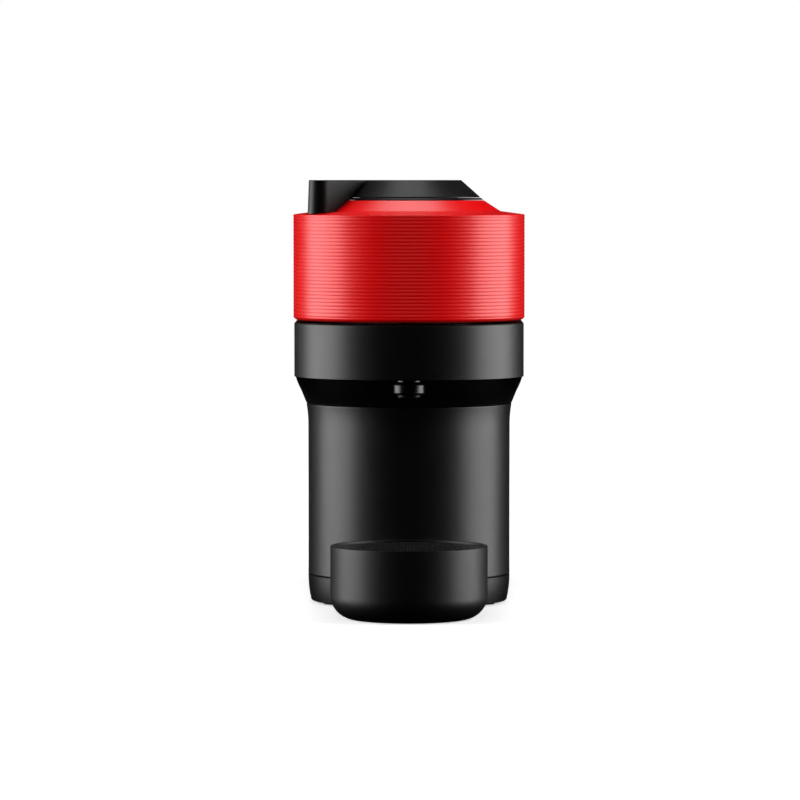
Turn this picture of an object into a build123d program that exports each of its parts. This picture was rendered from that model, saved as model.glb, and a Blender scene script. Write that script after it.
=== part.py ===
from build123d import *
from math import cos, radians, sin, tan
import os

# A capsule coffee machine, in millimetres. +Z is up, the front faces -Y, the machine is
# symmetric about X = 0 and it stands on Z = 0. The capsule spins about an upright axis
# under the round head; the used capsules fall into the column behind the cup.

# Driving dimensions
BREW_Y = -145.0          # upright axis of the head, the capsule and the spout
HINGE_Y = -45.0          # lid hinge, behind the head
HINGE_Z = 225.5
TOP_Z = 258.0            # flat top of the cone, the lever and the button
HEAD_RADIUS = 68.0       # round lid
RING_RADIUS = 67.5       # black ring under the lid
RING_BOTTOM = 142.7
RING_TOP = 174.6
LID_BOTTOM = 175.6
SHOULDER_Z = 237.9       # top corner of the lid's straight side
CONE_FOOT_R = 53.8       # where the red cone starts
CONE_FOOT_Z = 239.8
CONE_RIM_R = 44.0        # where the black cone starts
CONE_RIM_Z = 246.1
CONE_TOP_R = 30.6
COLUMN_HALF = 61.6       # half the width of the column
COLUMN_ARC_Y = -35.0     # centre of the column's round front
COLUMN_FRONT = -96.6
COLUMN_BACK = 20.0
SEAM_Z = 122.3           # seam between the sliding container and the neck
BASE_TOP = 17.7
BASE_BOTTOM = 1.5
BODY_FRONT = 21.5        # front wall of the technical compartment
BODY_BACK = 163.0
REAR_HALF = 66.0
REAR_TOP = 232.0
TANK_HALF = 50.0
TANK_FRONT = 165.6
TANK_BACK = 213.0
TANK_BOTTOM = 24.0
TANK_TOP = 190.0
VALVE_Y = 189.0
BOWL_Y = -150.0          # centre of the round cup support
BOWL_RADIUS = 46.1
BOWL_TOP = 43.2
BOWL_ROUND = 16.0        # rounding of the bowl's bottom edge
WALL = 2.4
GAP = 0.3                # between pieces that only lie beside each other
FIT = 0.05               # radial clearance of every running fit
SHAFT_R = 4.0
HINGE_PIN_R = 2.5
LEVER_SPREAD = 38.0      # half the angle that the lever spans on the cone
LEVER_REACH = 58.4
LOCK_TURN = 35.0         # how far the lever turns to unlock
LUG_ANGLES = (-90, 30, 150)
PUMP_X, PUMP_Y = 28.0, 60.0
METER_X, METER_Y = 28.0, 112.0
METER_Z = 31.0
GLAND_Y, GLAND_Z = 132.0, 34.0
CHUTE_HALF = 31.5        # the way down for used capsules, behind the brewing place
CHUTE_FRONT, CHUTE_BACK = -81.5, -47.0
WINDOW_HALF = 48.0       # the opening that the back panel closes
WINDOW_FRONT = 150.0
DECK_BOTTOM = 171.6
LUG_IN, LUG_OUT = 54.0, 58.0   # reach of the lock ring's lugs
HOOK_LOW, HOOK_HIGH = 23.6, 30.4   # tongue that holds the cup support

# Sections of the neck from its top down: height, half width, centre and front of its arc
NECK = (
    (142.5, 67.0, -125.0, -133.5),
    (139.3, 66.4, -110.0, -130.5),
    (135.0, 65.1, -85.0, -119.0),
    (130.7, 63.8, -62.0, -108.5),
    (126.5, 62.8, -46.0, -101.5),
    (SEAM_Z, 62.1, COLUMN_ARC_Y, -97.1),
)


def block(low, high, mode=Mode.ADD):
    """A block between two corners."""
    middle = tuple((a + b) / 2 for a, b in zip(low, high))
    with Locations(middle):
        Box(high[0] - low[0], high[1] - low[1], high[2] - low[2], mode=mode)


def block_pair(low, high, mode=Mode.ADD):
    """A block on the +X side between two corners, and its mirror image on the -X side."""
    block(low, high, mode)
    block((-high[0], low[1], low[2]), (-low[0], high[1], high[2]), mode)


def rod(place, radius, length, along="X", mode=Mode.ADD):
    """A cylinder that lies along X or Y, centred on a place."""
    tilt = (0, 90, 0) if along == "X" else (90, 0, 0)
    with Locations(Location(place, tilt)):
        Cylinder(radius, length, mode=mode)


def post(place, radius, bottom, top, mode=Mode.ADD):
    """An upright cylinder at a place (x, y)."""
    with Locations((place[0], place[1], (bottom + top) / 2)):
        Cylinder(radius, top - bottom, mode=mode)


def turn(outline, place=(0, BREW_Y), mode=Mode.ADD, start=0, sweep=360):
    """Turn a closed outline of (radius, height) points about the upright axis at a place."""
    radial = (cos(radians(start)), sin(radians(start)), 0)
    normal = (sin(radians(start)), -cos(radians(start)), 0)
    with BuildSketch(Plane((*place, 0), x_dir=radial, z_dir=normal)) as profile:
        with BuildLine():
            Polyline(*outline, close=True)
        make_face()
    revolve(profile.sketch, axis=Axis((*place, 0), (0, 0, 1)), revolution_arc=sweep, mode=mode)


def round_plan(height, half, arc_y, front, rear, corner=0.0):
    """A plan outline at a height: a round front, straight sides and a flat rear."""
    with BuildSketch(Plane.XY.offset(height)) as plan:
        with BuildLine():
            EllipticalCenterArc((0, arc_y), half, arc_y - front, start_angle=180, arc_size=180)
            Polyline((half, arc_y), (half, rear), (-half, rear), (-half, arc_y))
        make_face()
        if corner > 0:
            fillet(plan.vertices().group_by(Axis.Y)[-1], radius=corner)
    return plan.sketch


def round_block(low, high, half, arc_y, front, rear, corner=0.0, mode=Mode.ADD):
    """A straight block on a plan with a round front."""
    extrude(round_plan(low, half, arc_y, front, rear, corner), amount=high - low, mode=mode)


def tube(points, radius, bore, leave, arrive):
    """A hollow hose through a list of points, with the directions of its two ends."""
    with BuildLine() as route:
        Spline(*points, tangents=(leave, arrive))
    with BuildSketch(Plane(route.line @ 0, z_dir=route.line % 0)) as section:
        Circle(radius)
        Circle(bore, mode=Mode.SUBTRACT)
    sweep(section.sketch, path=route.line)


def coil(place, bottom, top, radius, wire, turns):
    """An open coil spring that stands between two heights."""
    rise = top - bottom - 2 * wire
    with BuildLine(Plane((*place, bottom + wire))) as route:
        Helix(pitch=rise / turns, height=rise, radius=radius)
    with BuildSketch(Plane(route.line @ 0, z_dir=route.line % 0)) as section:
        Circle(wire)
    sweep(section.sketch, path=route.line, is_frenet=True)


def around(radius, angle, place=(0, BREW_Y)):
    """The point (x, y) at an angle round an upright axis."""
    return place[0] + radius * cos(radians(angle)), place[1] + radius * sin(radians(angle))


# Places that several pieces share
HINGE = (0, HINGE_Y, HINGE_Z)
FEET = [(x, y) for x in (-45, 45) for y in (-52, 192)]
BASE_POSTS = [(x, y) for x in (-50, 50) for y in (36, 146)]
DECK_POSTS = [around(59.5, 215), around(59.5, 325), (-57, -62), (57, -62)]
LID_POSTS = [around(61.3, angle) for angle in (-30, 90, 210)]
MOUNT_SCREW_R = 1.6

# ---------------------------------------------------------------- base

with BuildPart() as base_plate:
    sections = []
    for height, inset in ((BASE_BOTTOM, 2.3), (BASE_BOTTOM + 1.5, 0.8), (BASE_TOP, 0)):
        sections.append(
            round_plan(
                height, COLUMN_HALF - inset, COLUMN_ARC_Y, COLUMN_FRONT + inset,
                TANK_BACK - inset, 22 - inset,
            )
        )
    loft(sections, ruled=True)
    block((-56, -30, 4), (56, 157, 15.3), Mode.SUBTRACT)
    block((-56, 25, 4), (56, 157, BASE_TOP + 1), Mode.SUBTRACT)
    # the channel for the hose from the tank
    block((-13, 150, 7), (13, 197, 15.3), Mode.SUBTRACT)
    block((-13, 150, 7), (17, 160, BASE_TOP + 1), Mode.SUBTRACT)
    post((0, VALVE_Y), 4.2, 10, BASE_TOP + 1, Mode.SUBTRACT)
    for place in BASE_POSTS:
        post(place, 5, 3, BASE_TOP)
        post(place, 3.6, 0, 8, Mode.SUBTRACT)
        post(place, MOUNT_SCREW_R + 0.1, 0, BASE_TOP + 1, Mode.SUBTRACT)
    for place in FEET:
        post(place, 3.1, 0, 3.6, Mode.SUBTRACT)
base_plate.part.label = "base_plate"

with BuildPart() as rubber_feet:
    for place in FEET:
        post(place, 7, 0, BASE_BOTTOM - 0.05)
        post(place, 3, 1, 3.5)
rubber_feet.part.label = "rubber_feet"

with BuildPart() as base_screws:
    for place in BASE_POSTS:
        post(place, 3.3, 6, 7.95)
        post(place, MOUNT_SCREW_R, 7.9, 27)
base_screws.part.label = "base_screws"

# ---------------------------------------------------------------- fixed housing

with BuildPart() as main_body:
    for inset, corner, mode in ((0, 10, Mode.ADD), (WALL, 8, Mode.SUBTRACT)):
        sections = []
        for height, half, arc_y, front in reversed(NECK):
            sections.append(
                round_plan(height, half - inset, arc_y, front + inset, BODY_BACK - inset, corner)
            )
        loft(sections, ruled=True, mode=mode)
    # the plate over the container, with the way down for capsules
    block((-57, -80, SEAM_Z), (57, 30, SEAM_Z + 2))
    round_block(SEAM_Z, SEAM_Z + 2, 61, COLUMN_ARC_Y, COLUMN_ARC_Y - 61, 30)
    block(
        (-CHUTE_HALF, CHUTE_FRONT, SEAM_Z - 1), (CHUTE_HALF, CHUTE_BACK, SEAM_Z + 5), Mode.SUBTRACT
    )
    # the tall box behind the container
    round_block(BASE_TOP + 0.2, SEAM_Z + 0.2, COLUMN_HALF, BODY_FRONT + 4, BODY_FRONT, BODY_BACK, 10)
    round_block(
        10, 150, COLUMN_HALF - WALL, BODY_FRONT + WALL + 4, BODY_FRONT + WALL, BODY_BACK - WALL, 8,
        Mode.SUBTRACT,
    )
    block((-WINDOW_HALF, WINDOW_FRONT, 24), (WINDOW_HALF, BODY_BACK + 1, 150), Mode.SUBTRACT)
    # screw posts, each joined to the wall by a rib
    for rib_y in (36, 146):
        block_pair((51, rib_y - 2, BASE_TOP + 0.2), (60, rib_y + 2, 32))
    for place in BASE_POSTS:
        post(place, 4.6, BASE_TOP + 0.2, 32)
        post(place, MOUNT_SCREW_R + FIT, 10, 28, Mode.SUBTRACT)
    rod((60, GLAND_Y, GLAND_Z), 5.1, 12, mode=Mode.SUBTRACT)
main_body.part.label = "main_body"

with BuildPart() as head_housing:
    round_block(RING_BOTTOM, RING_TOP, RING_RADIUS, BREW_Y, BREW_Y - RING_RADIUS, BODY_BACK, 12)
    round_block(
        RING_BOTTOM + WALL, RING_TOP + 1, RING_RADIUS - WALL, BREW_Y,
        BREW_Y - RING_RADIUS + WALL, BODY_BACK - WALL, 10, Mode.SUBTRACT,
    )
    # open over the technical compartment, round the chute and at the back
    block((-58, 26, 140), (58, 157, 150), Mode.SUBTRACT)
    block((-52, WINDOW_FRONT, 140), (52, BODY_BACK - WALL, 150), Mode.SUBTRACT)
    block((-34, -84, 140), (34, -44, 150), Mode.SUBTRACT)
    block((-WINDOW_HALF, WINDOW_FRONT, 140), (WINDOW_HALF, BODY_BACK + 1, 180), Mode.SUBTRACT)
    post((0, BREW_Y), 7.2, 140, 150, Mode.SUBTRACT)
    for place in DECK_POSTS:
        post(place, 4, 144, 171.3)
        post(place, 1.5 + FIT, 160, 172, Mode.SUBTRACT)
head_housing.part.label = "head_housing"

with BuildPart() as rear_cover:
    block((-REAR_HALF, BREW_Y + 26, RING_TOP + 0.4), (REAR_HALF, BODY_BACK, REAR_TOP))
    fillet(rear_cover.edges().filter_by(Axis.Z).group_by(Axis.Y)[-1], radius=12)
    fillet(rear_cover.edges().group_by(Axis.Z)[-1].filter_by(Axis.Y), radius=5)
    pocket_half, pocket_back = 42, HINGE_Y + 7.3
    hug_r = HEAD_RADIUS + 1.6
    inside_front, inside_back = BREW_Y + 29, BODY_BACK - WALL
    with BuildSketch(Plane.XY.offset(RING_TOP)) as hollow_plan:
        with Locations((0, (inside_front + inside_back) / 2)):
            Rectangle(2 * (REAR_HALF - WALL), inside_back - inside_front)
        fillet(hollow_plan.vertices(), radius=4)
        with Locations((0, BREW_Y)):
            Circle(hug_r + WALL, mode=Mode.SUBTRACT)
        with Locations((0, (pocket_back + WALL - 90) / 2)):
            Rectangle(2 * (pocket_half + WALL), pocket_back + WALL + 90, mode=Mode.SUBTRACT)
    extrude(hollow_plan.sketch, amount=REAR_TOP - WALL - RING_TOP, mode=Mode.SUBTRACT)
    post((0, BREW_Y), hug_r, 170, 240, Mode.SUBTRACT)
    block((-pocket_half, -90, 170), (pocket_half, pocket_back, 240), Mode.SUBTRACT)
    block((-WINDOW_HALF, WINDOW_FRONT, 170), (WINDOW_HALF, BODY_BACK + 1, 222), Mode.SUBTRACT)
    # lugs that carry the hinge pin
    block_pair((32, HINGE_Y - 6, HINGE_Z - 6), (43, HINGE_Y + 9, HINGE_Z + 6))
    rod(HINGE, HINGE_PIN_R + 0.02, 78, mode=Mode.SUBTRACT)
rear_cover.part.label = "rear_cover"

with BuildPart() as back_panel:
    block((-51, BODY_BACK - 5.2, 21), (51, BODY_BACK - WALL - 0.3, 225))
    fillet(back_panel.edges().filter_by(Axis.Y), radius=6)
    for level in range(8):
        block((-30, 150, 150 + 7 * level), (30, 170, 153 + 7 * level), Mode.SUBTRACT)
back_panel.part.label = "back_panel"

with BuildPart() as hinge_pin:
    rod(HINGE, HINGE_PIN_R, 77)
hinge_pin.part.label = "hinge_pin"

with BuildPart() as cord_gland:
    rod((COLUMN_HALF - 1.2, GLAND_Y, GLAND_Z), 5, 8)
    rod((COLUMN_HALF + 1.1, GLAND_Y, GLAND_Z), 7, 1.8)
    rod((COLUMN_HALF, GLAND_Y, GLAND_Z), 3, 20, mode=Mode.SUBTRACT)
cord_gland.part.label = "cord_gland"

# ---------------------------------------------------------------- brewing, fixed part

with BuildPart() as brew_deck:
    deck_r = RING_RADIUS - WALL - 0.4
    slot_in, slot_out = LUG_IN - 2.6, LUG_OUT + 2.6
    round_block(DECK_BOTTOM, RING_TOP, deck_r, BREW_Y, BREW_Y - deck_r, HINGE_Y + 1)
    post((0, BREW_Y), 35.5, 170, 176, Mode.SUBTRACT)
    block((-CHUTE_HALF, CHUTE_FRONT, 170), (CHUTE_HALF, CHUTE_BACK, 176), Mode.SUBTRACT)
    for angle in LUG_ANGLES:
        turn(
            [(slot_in, 170), (slot_out, 170), (slot_out, 176), (slot_in, 176)],
            mode=Mode.SUBTRACT, start=angle - 9, sweep=LOCK_TURN + 18,
        )
    for place in DECK_POSTS:
        post(place, 3.1, 172.9, 176, Mode.SUBTRACT)
        post(place, 1.6, 170, 176, Mode.SUBTRACT)
brew_deck.part.label = "brew_deck"

with BuildPart() as deck_screws:
    for place in DECK_POSTS:
        post(place, 2.9, 173, 174.4)
        post(place, 1.5, 162, 173.1)
deck_screws.part.label = "deck_screws"

with BuildPart() as brew_bowl:
    turn([
        (4.0, 143.4), (6.0, 143.4), (6.0, 146.0), (46.4, 149.0), (46.4, 169.4), (51.0, 169.4),
        (51.0, 171.2), (44.8, 171.2), (44.8, 151.0), (8.0, 148.0), (4.0, 148.0),
    ])
    turn([(33.2, 160.6), (45.5, 160.6), (45.5, 163.4), (33.2, 163.4)])
    for angle in range(0, 360, 60):
        turn(
            [(36.5, 160), (43, 160), (43, 164), (36.5, 164)],
            mode=Mode.SUBTRACT, start=angle, sweep=44,
        )
brew_bowl.part.label = "brew_bowl"

with BuildPart() as holder_bearing:
    turn([
        (29.5 + FIT, 160.8), (33.0, 160.8), (33.0, 163.6), (35.6, 163.6), (35.6, 165.6),
        (29.5 + FIT, 165.6),
    ])
holder_bearing.part.label = "holder_bearing"

with BuildPart() as coffee_spout:
    turn([
        (6.3, 145.6), (6.3, 138.0), (3.0, 134.0), (3.0, 129.8), (6.4, 129.8), (6.7, 131.9),
        (8.9, 132.1), (8.9, 136.6), (7.6, 138.2), (7.1, 138.4), (7.1, 145.6),
    ])
    fillet(coffee_spout.edges().group_by(Axis.Z)[0], radius=0.6)
coffee_spout.part.label = "coffee_spout"

with BuildPart() as capsule_chute:
    chute_wall = 1.6
    block(
        (-CHUTE_HALF - chute_wall, CHUTE_FRONT - chute_wall, SEAM_Z + 2.3),
        (CHUTE_HALF + chute_wall, CHUTE_BACK + chute_wall, DECK_BOTTOM - 0.4),
    )
    block((-CHUTE_HALF, CHUTE_FRONT, SEAM_Z), (CHUTE_HALF, CHUTE_BACK, 175), Mode.SUBTRACT)
capsule_chute.part.label = "capsule_chute"

with BuildPart() as code_reader:
    block((-8, -98.2, 164.0), (8, -93.8, 169.0))
    block((-11, -93.8, 158.0), (11, -92.3, 169.0))
code_reader.part.label = "code_reader"

# ---------------------------------------------------------------- water and power

with BuildPart() as tank_seat:
    block((-24, 170, BASE_TOP + 0.1), (24, 208, TANK_BOTTOM - 0.3))
    fillet(tank_seat.edges().filter_by(Axis.Z), radius=6)
    post((0, VALVE_Y), 8.4, 19.2, 30, Mode.SUBTRACT)
    post((0, VALVE_Y), 3.0, 10, 30, Mode.SUBTRACT)
    block((-3.5, VALVE_Y - 0.8, BASE_TOP + 0.1), (3.5, VALVE_Y + 0.8, 19.2))
    post((0, VALVE_Y), 0.8, 18, 21.2)
tank_seat.part.label = "tank_seat"

with BuildPart() as tank_seal:
    turn([(6.9, 19.3), (8.3, 19.3), (8.3, 21.8), (6.9, 21.8)], place=(0, VALVE_Y))
tank_seal.part.label = "tank_seal"

with BuildPart() as pump_body:
    block((PUMP_X - 21, PUMP_Y - 21, 52), (PUMP_X + 21, PUMP_Y + 21, 96))
    fillet(pump_body.edges().filter_by(Axis.Z), radius=3)
    post((PUMP_X, PUMP_Y), 10, 40, 108)
    post((PUMP_X, PUMP_Y), 3, 32, 116)
    post((PUMP_X, PUMP_Y), 6 + FIT, 56, 106, Mode.SUBTRACT)
    post((PUMP_X, PUMP_Y), 1.5, 30, 118, Mode.SUBTRACT)
pump_body.part.label = "pump_body"

with BuildPart() as pump_plunger:
    post((PUMP_X, PUMP_Y), 6, 60, 90)
    post((PUMP_X, PUMP_Y), 1.4, 55, 95, Mode.SUBTRACT)
pump_plunger.part.label = "pump_plunger"

with BuildPart() as pump_spring:
    coil((PUMP_X, PUMP_Y), 90.2, 105.8, 4.4, 0.6, 6)
pump_spring.part.label = "pump_spring"

with BuildPart() as pump_mounts:
    for level in (43.0, 98.6):
        post((PUMP_X, PUMP_Y), 14, level, level + 6)
        block((PUMP_X - 5, PUMP_Y, level), (PUMP_X + 5, PUMP_Y + 30, level + 6))
        block((PUMP_X - 12, PUMP_Y + 30, level - 3), (PUMP_X + 12, PUMP_Y + 33, level + 9))
        post((PUMP_X, PUMP_Y), 10.02, level - 1, level + 7, Mode.SUBTRACT)
pump_mounts.part.label = "pump_mounts"

with BuildPart() as thermoblock:
    block((-52, 36, 62), (-14, 84, 148))
    fillet(thermoblock.edges().filter_by(Axis.Z), radius=6)
    for rib in range(6):
        block((-54, 36 + 8 * rib, 66), (-12, 39 + 8 * rib, 144))
    post((-42, 60), 3, 140, 156)
    post((-24, 60), 3, 140, 156)
    post((-42, 60), 1.6, 130, 157, Mode.SUBTRACT)
    post((-24, 60), 1.6, 130, 157, Mode.SUBTRACT)
thermoblock.part.label = "thermoblock"

with BuildPart() as thermal_fuse:
    with Locations((-33, 48, 148.2 + 2.5)):
        Cylinder(7, 5)
    block((-40.5, 46.5, 148.3), (-25.5, 49.5, 149.6))
thermal_fuse.part.label = "thermal_fuse"

with BuildPart() as flow_meter_body:
    post((METER_X, METER_Y), 14, METER_Z - 9, METER_Z + 9)
    rod((METER_X, METER_Y, METER_Z), 3.2, 44, along="Y")
    rod((METER_X, METER_Y, METER_Z), 1.8, 46, along="Y", mode=Mode.SUBTRACT)
    post((METER_X, METER_Y), 11.5, METER_Z - 6, METER_Z + 6, Mode.SUBTRACT)
    post((METER_X, METER_Y), 1, 24, 38)
flow_meter_body.part.label = "flow_meter_body"

with BuildPart() as flow_meter_rotor:
    post((METER_X, METER_Y), 3, 26, 36)
    for angle in range(0, 180, 60):
        with Locations(Location((METER_X, METER_Y, METER_Z), (0, 0, angle))):
            Box(20, 1.6, 8)
    post((METER_X, METER_Y), 1 + FIT, 24, 38, Mode.SUBTRACT)
flow_meter_rotor.part.label = "flow_meter_rotor"

with BuildPart() as main_board:
    block((-56.5, 92, 100), (-54.9, 152, 214))
    block((-55, 100, 180), (-36, 124, 202))
    block((-55, 100, 150), (-40, 118, 170))
    block((-55, 126, 106), (-42, 146, 124))
    for height in (136, 152, 168):
        rod((-47, 138, height), 6, 16.2)
main_board.part.label = "main_board"

with BuildPart() as suction_hose:
    tube(
        [
            (0, VALVE_Y + 3, 11.4), (0, 168, 11.4), (9, 150, 15), (METER_X - 2, 143, 28),
            (METER_X, METER_Y + 22.4, METER_Z),
        ],
        3.4, 2.2, leave=(0, -1, 0), arrive=(0, -1, 0),
    )
suction_hose.part.label = "suction_hose"

with BuildPart() as meter_hose:
    tube(
        [
            (METER_X, METER_Y - 22.4, METER_Z), (METER_X, 78, 24), (METER_X, 68, 14),
            (PUMP_X, 60.5, 18), (PUMP_X, PUMP_Y, 31.6),
        ],
        3.2, 2.2, leave=(0, -1, 0), arrive=(0, 0, 1),
    )
meter_hose.part.label = "meter_hose"

with BuildPart() as pressure_hose:
    tube(
        [(PUMP_X, PUMP_Y, 116.4), (14, 54, 158), (-8, 54, 170), (-24, PUMP_Y, 156.4)],
        2.9, 1.8, leave=(0, 0, 1), arrive=(0, 0, -1),
    )
pressure_hose.part.label = "pressure_hose"

with BuildPart() as hot_water_tube:
    tube(
        [(-42, 60, 156.4), (-46, 40, 190), (-30, 0, 208), (-4, -30, 211)],
        2.6, 1.5, leave=(0, 0, 1), arrive=(1, -1, 0),
    )
hot_water_tube.part.label = "hot_water_tube"

# ---------------------------------------------------------------- lid

with BuildPart() as lid_cover:
    turn([
        (65.6, LID_BOTTOM), (67.0, LID_BOTTOM), (67.7, LID_BOTTOM + 0.7),
        (HEAD_RADIUS, LID_BOTTOM + 2), (HEAD_RADIUS, SHOULDER_Z), (CONE_FOOT_R, CONE_FOOT_Z),
        (CONE_RIM_R, CONE_RIM_Z),
        (42.4, CONE_RIM_Z), (42.4, 244.3), (53.1, 237.4), (65.6, 235.7),
    ])
    block((-31, BREW_Y + 56, 230.0), (31, HINGE_Y, REAR_TOP - 0.2))
    post((0, BREW_Y), 65.6, 228, 234, Mode.SUBTRACT)
    # room for the two arms of the frame and their round knuckles
    block_pair((13.5, BREW_Y + 56, 206), (22.5, BREW_Y + 72, 230.0), Mode.SUBTRACT)
    for middle in (-18, 18):
        rod((middle, HINGE_Y, HINGE_Z), 6.3, 9, mode=Mode.SUBTRACT)
    for place in LID_POSTS:
        post(place, 3.4, 179.6, 200)
        post(place, 1.3, 179, 198, Mode.SUBTRACT)
    post((0, BREW_Y), 80, 100, LID_BOTTOM, Mode.SUBTRACT)
lid_cover.part.label = "lid_cover"

with BuildPart() as lid_frame:
    turn([
        (9.1, 180.2), (35.0, 180.2), (35.0, 177.0), (65.2, 177.0), (65.2, 179.2), (37.2, 179.2),
        (37.2, 182.4), (9.1, 182.4),
    ])
    slot_in, slot_out = LUG_IN - 1.6, LUG_OUT + 1.6
    for angle in LUG_ANGLES:
        turn(
            [(slot_in, 176), (slot_out, 176), (slot_out, 180), (slot_in, 180)],
            mode=Mode.SUBTRACT, start=angle - 7, sweep=LOCK_TURN + 14,
        )
    for place in LID_POSTS:
        post(place, 1.4, 170, 190, Mode.SUBTRACT)
        post(place, 2.6, 176, 178.2, Mode.SUBTRACT)
    # arms to the hinge
    for arm_x in (-22, 14):
        with BuildSketch(Plane.YZ.offset(arm_x)) as arm:
            with BuildLine():
                Polyline(
                    (BREW_Y + 60.8, 178), (BREW_Y + 60.8, 211), (HINGE_Y - 3, HINGE_Z - 6),
                    (HINGE_Y, HINGE_Z - 6), (HINGE_Y, HINGE_Z), (HINGE_Y, 229.6),
                    (BREW_Y + 57.4, 229.6), (BREW_Y + 57.4, 178), close=True,
                )
            make_face()
            with Locations((HINGE_Y, HINGE_Z)):
                Circle(6)
        extrude(arm.sketch, amount=8)
    block((-22, BREW_Y + 57.4, 214), (22, BREW_Y + 60.8, 229.6))
    rod(HINGE, HINGE_PIN_R + FIT, 60, mode=Mode.SUBTRACT)
lid_frame.part.label = "lid_frame"

with BuildPart() as lid_screws:
    for place in LID_POSTS:
        post(place, 2.5, 176.9, 178.1)
        post(place, 1.28, 178, 192)
lid_screws.part.label = "lid_screws"

with BuildPart() as lid_seal:
    turn([(38.5, 175.0), (42.0, 175.0), (42.0, 176.9), (38.5, 176.9)])
lid_seal.part.label = "lid_seal"

with BuildPart() as top_cone:
    slope = (TOP_Z - CONE_RIM_Z) / (CONE_RIM_R - CONE_TOP_R)
    foot_r = 42.0
    foot_z = CONE_RIM_Z + slope * (CONE_RIM_R - foot_r)
    turn([
        (foot_r, foot_z), (CONE_TOP_R, TOP_Z), (13.4, TOP_Z), (13.4, 250.5), (15.4, 250.5),
        (15.4, 256.0), (26.0, 256.0), (26.0, 231.9), (29.0, 231.9), (29.0, 256.0), (30.2, 256.0),
        (foot_r - 2.6, foot_z),
    ])
top_cone.part.label = "top_cone"

with BuildPart() as motor_stator:
    turn([
        (5.0, 186.0), (26.0, 186.0), (26.0, 231.6), (9.1, 231.6), (9.1, 228.4), (21.2, 228.4),
        (21.2, 188.4), (5.0, 188.4),
    ])
    for angle in range(0, 360, 120):
        post(around(17, angle), 3, 182.5, 187)
motor_stator.part.label = "motor_stator"

with BuildPart() as rotor_bearings:
    for bottom in (180.6, 228.2):
        turn([
            (SHAFT_R + FIT, bottom), (9.0, bottom), (9.0, bottom + 3.2), (SHAFT_R + FIT, bottom + 3.2),
        ])
rotor_bearings.part.label = "rotor_bearings"

with BuildPart() as water_inlet:
    turn([
        (0, 236.6), (0, 243.0), (7.0, 243.0), (7.0, 232.6), (4.3, 232.6), (4.3, 236.6),
    ])
    rod((0, BREW_Y + 9, 239), 2.4, 8, along="Y")
    block((-24.5, BREW_Y - 3, 240), (24.5, BREW_Y + 3, 242))
water_inlet.part.label = "water_inlet"

with BuildPart() as button_board:
    block((-11, BREW_Y - 11, 248.6), (11, BREW_Y + 11, 250.2))
    block((-3, BREW_Y - 3, 250.2), (3, BREW_Y + 3, 251.4))
button_board.part.label = "button_board"

with BuildPart() as brew_button:
    turn([
        (0, 254.6), (4.6, 254.6), (4.6, 256.2), (11.4, 256.2), (11.4, 253.4), (13.0, 253.4),
        (13.0, TOP_Z), (0, TOP_Z),
    ])
brew_button.part.label = "brew_button"

with BuildPart() as button_spring:
    coil((0, BREW_Y), 250.4, 256.1, 8.0, 0.35, 3)
button_spring.part.label = "button_spring"

# ---------------------------------------------------------------- lock

with BuildPart() as lock_lever:
    # web and tube under the cone
    turn([
        (30.0, 236.5), (32.0, 236.5), (32.0, 246.4), (CONE_RIM_R - 0.34, 246.4),
        (CONE_RIM_R - 1.58, 247.5), (30.0, 247.5),
    ])
    with BuildSketch(Plane.XY.offset(238)) as wing:
        with BuildLine():
            spread = tan(radians(LEVER_SPREAD))
            Polyline(
                (-20, BREW_Y - 20 * spread), (-LEVER_REACH, BREW_Y - LEVER_REACH * spread),
                (-LEVER_REACH, BREW_Y + LEVER_REACH * spread), (-20, BREW_Y + 20 * spread), close=True,
            )
        make_face()
        fillet(wing.vertices().group_by(Axis.X)[0], radius=6.5)
    extrude(wing.sketch, amount=TOP_Z - 238)
    # the wing stays clear of the cover below it and of the cone that it wraps
    turn(
        [
            (0, 200), (80, 200), (80, SHOULDER_Z + 0.4), (68, SHOULDER_Z + 0.4), (53.95, 240.25),
            (CONE_RIM_R + 0.1, 246.4), (32.0, 246.4), (32.0, 236.5), (30.0, 236.5), (30.0, 247.5),
            (42.4, 247.5), (42.4, 248.1), (30.6, 258.6), (0, 258.6),
        ],
        mode=Mode.SUBTRACT,
    )
    turn([(0, 249), (32.6, 249), (32.6, 259), (0, 259)], mode=Mode.SUBTRACT)
lock_lever.part.label = "lock_lever"

with BuildPart() as lock_ring:
    turn([
        (30.0, 185.0), (46.0, 185.0), (46.0, 187.0), (32.0, 187.0), (32.0, 236.2), (30.0, 236.2),
    ])
    for angle in LUG_ANGLES:
        turn([(45, 185), (LUG_OUT, 185), (LUG_OUT, 187), (45, 187)], start=angle - 5, sweep=10)
        turn(
            [(LUG_IN, 172.4), (LUG_OUT, 172.4), (LUG_OUT, 187), (LUG_IN, 187)],
            start=angle - 5, sweep=10,
        )
lock_ring.part.label = "lock_ring"

# ---------------------------------------------------------------- spinning parts

with BuildPart() as motor_rotor:
    post((0, BREW_Y), SHAFT_R, 175.6, 235.6)
    post((0, BREW_Y), 20, 191, 226)
    for angle in range(0, 360, 45):
        turn(
            [(19, 190), (21, 190), (21, 227), (19, 227)],
            mode=Mode.SUBTRACT, start=angle, sweep=6,
        )
    post((0, BREW_Y), 1.55, 170, 240, Mode.SUBTRACT)
motor_rotor.part.label = "motor_rotor"

with BuildPart() as clamp_plate:
    turn([
        (1.6, 174.9), (33.0, 174.9), (33.0, 177.4), (8.0, 177.4), (8.0, 179.9), (4.02, 179.9),
        (4.02, 175.5), (1.6, 175.5),
    ])
    for angle in range(0, 360, 15):
        post(around(25.4, angle), 0.7, 173.7, 175.4)
clamp_plate.part.label = "clamp_plate"

with BuildPart() as injection_needle:
    turn([
        (0.6, 166.5), (0.9, 166.5), (1.45, 169.0), (1.45, 190.0), (0.6, 190.0),
    ])
injection_needle.part.label = "injection_needle"

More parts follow.
